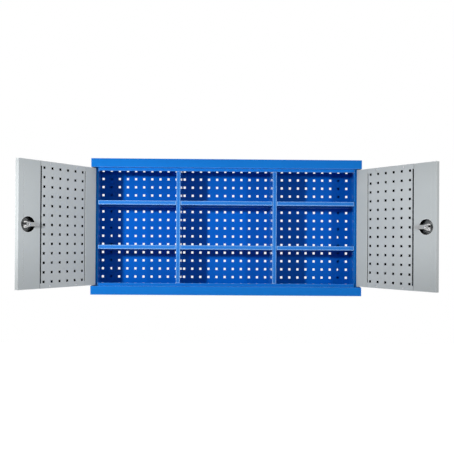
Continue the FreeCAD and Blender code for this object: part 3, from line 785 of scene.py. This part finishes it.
@dataclass
class Lock:
    """One cam lock: threaded housing, chamfered nut, plug, cam and cross-recess screw."""

    side: Side
    flange_height: float = 0.0025
    flange_chamfer: float = 0.0010
    barrel: float = 0.0095
    bore: float = 0.00605
    thread_pitch: float = 0.0015
    thread_depth: float = 0.0007
    thread_steps: int = 6
    thread_crest: float = 0.15
    thread_flank: float = 0.70
    housing_round: int = 36
    nut_bore: float = 0.00955
    nut_chamfer: float = math.tan(math.radians(30.0))
    nut_sector: float = math.radians(60.0)
    nut_rim: float = 0.985
    nut_round: int = 72
    screw_shank: float = 0.0020
    screw_skirt: float = 0.0012
    screw_flat: float = 0.0027
    crown_steps: int = 5
    recess_reach: float = 0.0021
    recess_half: float = 0.0005
    recess_depth: float = 0.0014
    recess_taper: float = 0.65

    def dress(self, paints: Paintbox) -> None:
        """Plate the plug and the cam."""
        for part in ("lock_plug", "lock_cam"):
            paint_node(f"{self.side.value}_{part}", paints)

    def build(self, paints: Paintbox) -> None:
        """Build the turned and threaded pieces over their plain solids.

        Args:
            paints: The materials.
        """
        axes = DoorAxes(self.side)
        door, plug = f"{self.side.value}_door", f"{self.side.value}_lock"
        for name, body, draw in (("lock_housing", door, self.draw_housing), ("lock_nut", door, self.draw_nut),
                                 ("cam_screw", plug, self.draw_screw)):
            node = f"{self.side.value}_{name}"
            form = bmesh.new()
            draw(form, axes, axes.node_span(node))
            as_piece(form, f"{node}_turned", body, Slot.NICKEL, node, paints)

    def thread(self, height: float, start: float, end: float) -> Ring:
        """One ring of the thread, which runs out at both ends.

        Args:
            height: The ring's height.
            start: Where the thread begins.
            end: Where it ends.

        Returns:
            The ring, with the groove's depth at each angle.
        """
        run_out = min(1.0, (height - start) / self.thread_pitch, (end - height) / self.thread_pitch)

        def ring(angle: float) -> tuple[float, float]:
            """Radius and height at an angle, by the part of a turn from the crest.

            Args:
                angle: Angle about the axis.

            Returns:
                Radius and height.
            """
            turn = (height / self.thread_pitch - angle / math.tau) % 1.0
            groove = min(1.0, max(0.0, (abs(2.0 * turn - 1.0) - self.thread_crest) / self.thread_flank))
            return self.barrel - self.thread_depth * run_out * groove, height

        return ring

    def draw_housing(self, form: bmesh.types.BMesh, axes: DoorAxes, spans: tuple[Span, Span, Span]) -> None:
        """Draw the flanged barrel with its rolled thread.

        Args:
            form: The mesh that gets the faces.
            axes: The door's axes.
            spans: How far the plain solid reaches along them.
        """
        (near, far), (low, high), _ = spans
        flange = (far - near) / 2.0
        face, end = -self.flange_height, high - low - self.flange_height
        count = math.ceil(end / self.thread_pitch * self.thread_steps)
        profile = [level(self.bore, end), level(self.bore, face), level(flange - self.flange_chamfer, face),
                   level(flange, face + self.flange_chamfer), level(flange, 0.0)]
        profile += [self.thread(end * step / count, 0.0, end) for step in range(count + 1)]
        place = axes.at(axes.lock_along, low - face, 0.0)
        turn_profile(form, profile, place, self.housing_round, closed=True)

    def draw_nut(self, form: bmesh.types.BMesh, axes: DoorAxes, spans: tuple[Span, Span, Span]) -> None:
        """Draw the hexagonal nut, its corners chamfered on both sides.

        Args:
            form: The mesh that gets the faces.
            axes: The door's axes.
            spans: How far the plain solid reaches along them.
        """
        (_, _), (low, high), (bottom, top) = spans
        flat, height = (top - bottom) / 2.0, high - low

        def corner(angle: float) -> float:
            """Radius of the hexagon at an angle."""
            return flat / math.cos((angle % self.nut_sector) - self.nut_sector / 2.0)

        def lower(angle: float) -> tuple[float, float]:
            """Edge of the lower chamfer at an angle."""
            return corner(angle), (corner(angle) - flat) * self.nut_chamfer

        def upper(angle: float) -> tuple[float, float]:
            """Edge of the upper chamfer at an angle."""
            return corner(angle), height - (corner(angle) - flat) * self.nut_chamfer

        rim = flat * self.nut_rim
        profile = [level(self.nut_bore, 0.0), level(rim, 0.0), lower, upper, level(rim, height),
                   level(self.nut_bore, height)]
        turn_profile(form, profile, axes.at(axes.lock_along, low, 0.0), self.nut_round, closed=True)

    def draw_screw(self, form: bmesh.types.BMesh, axes: DoorAxes, spans: tuple[Span, Span, Span]) -> None:
        """Draw the pan-head screw with its cross recess.

        Args:
            form: The mesh that gets the faces.
            axes: The door's axes.
            spans: How far the plain solid reaches along them.
        """
        (near, far), (low, high), _ = spans
        head, top = (far - near) / 2.0, high - low
        place = axes.at(axes.lock_along, low, 0.0)
        seat = top - 2.0 * self.screw_skirt
        crown = dome(head, self.screw_skirt, seat + self.screw_skirt, self.screw_flat, self.crown_steps)
        flat = crown[0](0.0)[1]
        profile = [level(0.0, 0.0), level(self.screw_shank, 0.0)]
        profile += [level(self.screw_shank, seat), level(head, seat)]
        rim = turn_profile(form, profile + crown[::-1], place)
        self.cut_recess(form, rim, place, flat)

    def cut_recess(self, form: bmesh.types.BMesh, rim: Vertices, place: Matrix, flat: float) -> None:
        """Close the screw's flat top round a cross, and sink the cross into it.

        Args:
            form: The screw's mesh.
            rim: Vertices round the flat top.
            place: Place of the screw's axis.
            flat: Height of the flat top.
        """
        half, reach = self.recess_half, self.recess_reach
        arm = [(half, half), (half, reach), (-half, reach)]
        quarter_turns = ((1, 0), (0, 1), (-1, 0), (0, -1))
        cross = [(x * c - y * s, x * s + y * c) for c, s in quarter_turns for x, y in arm]
        upper = [form.verts.new(place @ Vector((x, y, flat))) for x, y in cross]
        taper = self.recess_taper
        deep = flat - self.recess_depth
        lower = [form.verts.new(place @ Vector((x * taper, y * taper, deep))) for x, y in cross]
        bridge(form, upper, lower)
        floor = form.faces.new(lower)
        loops = [form.edges.get((loop[step], loop[(step + 1) % len(loop)]))
                 for loop in (rim, upper) for step in range(len(loop))]
        bmesh.ops.triangle_fill(form, use_beauty=True, edges=loops)
        bmesh.ops.triangulate(form, faces=[floor])


# Studio
@dataclass
class Studio:
    """White studio: a key lamp on the left, a weaker one on the right, soft light and a pale floor."""

    key_place: Place = (-1.445, -2.11, 0.31)
    fill_place: Place = (1.25, -1.98, 0.23)
    lamp_size: float = 0.16
    key_power: float = 44.0
    fill_power: float = 10.0
    beam: Span = (-0.31, 0.38)
    beam_depth: float = -0.40
    flag_share: float = 0.25
    flag_size: tuple[float, float] = (1.0, 0.40)
    soft_side: Place = (0.50, 0.85, 0.15)
    ambient: Span = (0.13, 0.66)
    ambient_range: Span = (-0.75, 0.40)
    glow: Span = (0.04, 1.0)
    glow_range: Span = (-0.80, -0.30)
    floor_level: float = -1.25
    floor_size: float = 8.0
    floor_glow: float = 0.72
    floor_colour: Colour = (0.80, 0.80, 0.80)

    def build(self) -> None:
        """Build the lamps with their flags, the surroundings and the floor."""
        self.build_lamp("key_lamp", self.key_place, self.key_power)
        self.build_flags("key_flag", self.key_place)
        self.build_lamp("fill_lamp", self.fill_place, self.fill_power)
        self.build_flags("fill_flag", self.fill_place)
        self.build_surroundings()
        self.build_floor()

    def build_lamp(self, name: str, place: Place, power: float) -> None:
        """Build one soft lamp that looks at the middle of the case and leaves no hot spot in the gloss.

        Args:
            name: The lamp's name.
            place: Where it stands.
            power: Watts.
        """
        lamp = bpy.data.lights.new(name, "AREA")
        lamp.shape = "DISK"
        lamp.size = self.lamp_size
        lamp.energy = power
        made = bpy.data.objects.new(name, lamp)
        made.location = place
        made.rotation_mode = "QUATERNION"
        made.rotation_quaternion = (-made.location).to_track_quat("-Z", "Y")
        made.visible_glossy = False
        bpy.context.scene.collection.objects.link(made)

    def build_flags(self, name: str, place: Place) -> None:
        """Build the two cards that take the light off softly over and under a lamp's beam.

        Args:
            name: The start of the cards' names.
            place: Where the lamp stands.
        """
        lamp = Vector(place)
        wide, high = self.flag_size
        for edge, reach in zip(self.beam, (-high, high)):
            middle = lamp.lerp(Vector((0.0, self.beam_depth, edge)), self.flag_share)
            corners = [(-wide / 2.0, 0.0), (wide / 2.0, 0.0), (wide / 2.0, reach), (-wide / 2.0, reach)]
            mesh = bpy.data.meshes.new(name)
            mesh.from_pydata([middle + Vector((x, 0.0, z)) for x, z in corners], [], [(0, 1, 2, 3)])
            card = bpy.data.objects.new(name, mesh)
            for rays in ("camera", "diffuse", "glossy", "transmission"):
                setattr(card, f"visible_{rays}", False)
            bpy.context.scene.collection.objects.link(card)

    def seen_directly(self, graph: Graph) -> bpy.types.NodeSocket:
        """Tell rays that show the background: from the camera, in reflections and through clear things.

        Args:
            graph: The nodes of a material or of the surroundings.

        Returns:
            1 on these rays and 0 on others.
        """
        path = graph.node("LightPath").outputs
        shown = graph.math("ADD", path["Is Camera Ray"], path["Is Glossy Ray"], clamp=True)
        return graph.math("ADD", shown, path["Is Transmission Ray"], clamp=True)

    def build_surroundings(self) -> None:
        """Light all round, strongest from behind and the right.

        The camera sees it white, and reflections show it dark towards the front.
        """
        world = bpy.data.worlds.new("studio")
        bpy.context.scene.world = world
        world.use_nodes = True
        graph = Graph(world.node_tree)
        heading = graph.node("TexCoord").outputs["Generated"]
        depth = graph.node("SeparateXYZ", {0: heading}).outputs["Y"]
        glow = graph.ramp(depth, self.glow_range, self.glow)
        camera = graph.node("LightPath").outputs["Is Camera Ray"]
        shown = graph.math("MAXIMUM", glow, camera)
        direct = self.seen_directly(graph)
        softness = graph.node("VectorMath", {0: heading, 1: self.soft_side}, operation="DOT_PRODUCT")
        around = graph.ramp(softness.outputs["Value"], self.ambient_range, self.ambient)
        ambient = graph.math("MULTIPLY", graph.math("SUBTRACT", 1.0, direct), around)
        strength = graph.math("ADD", graph.math("MULTIPLY", direct, shown), ambient)
        background = graph.node("Background", {"Strength": strength})
        background.inputs["Color"].default_value = opaque((1.0, 1.0, 1.0))
        graph.node("OutputWorld", {"Surface": background.outputs[0]})

    def build_floor(self) -> None:
        """Pale floor that looks white and keeps a faint shadow."""
        half = self.floor_size / 2.0
        corners = [(-half, -half), (half, -half), (half, half), (-half, half)]
        mesh = bpy.data.meshes.new("floor")
        mesh.from_pydata([(x, y, self.floor_level) for x, y in corners], [], [(0, 1, 2, 3)])
        material, graph = new_material("pale_floor")
        glow = graph.math("MULTIPLY", self.seen_directly(graph), self.floor_glow)
        finish_with(graph, {
            "Base Color": opaque(self.floor_colour),
            "Roughness": 1.0,
            "Specular IOR Level": 0.0,
            "Emission Strength": glow,
        })
        mesh.materials.append(material)
        floor = bpy.data.objects.new("floor", mesh)
        bpy.context.scene.collection.objects.link(floor)


@dataclass
class PhotoCamera:
    """Camera at the photograph's viewpoint."""

    place: Place = (-0.0469, -2.7249, -0.0665)
    yaw: float = -0.01060
    pitch: float = 0.00418
    roll: float = -0.00680
    focal_pixels: float = 575.5
    middle_pixel: tuple[float, float] = (220.95, 240.19)
    picture_side: float = 454.0

    def build(self) -> None:
        """Build the camera and make it the scene's."""
        data = bpy.data.cameras.new("photo_camera")
        data.lens = self.focal_pixels / self.picture_side * data.sensor_width
        data.shift_x = 0.5 - self.middle_pixel[0] / self.picture_side
        data.shift_y = self.middle_pixel[1] / self.picture_side - 0.5
        camera = bpy.data.objects.new("photo_camera", data)
        upright = Matrix.Rotation(math.radians(90.0), 3, "X")
        aim = Matrix.Rotation(self.yaw, 3, "Z") @ Matrix.Rotation(self.pitch, 3, "X")
        aim = aim @ Matrix.Rotation(self.roll, 3, "Y")
        camera.matrix_world = Matrix.Translation(self.place) @ (aim @ upright).to_4x4()
        bpy.context.scene.collection.objects.link(camera)
        bpy.context.scene.camera = camera


def main() -> None:
    """Dress the frame, build the finer pieces, then set up the studio and the camera."""
    logging.basicConfig(level=logging.INFO, format="%(name)s: %(message)s")
    paints = Paintbox()
    Case().dress(paints)
    for side in Side:
        door = Door(side)
        door.dress(paints)
        door.build_rivets(paints)
        lock = Lock(side)
        lock.dress(paints)
        lock.build(paints)
    Studio().build()
    PhotoCamera().build()
    bpy.context.scene.view_settings.view_transform = "Standard"


if __name__ == "__main__":
    main()
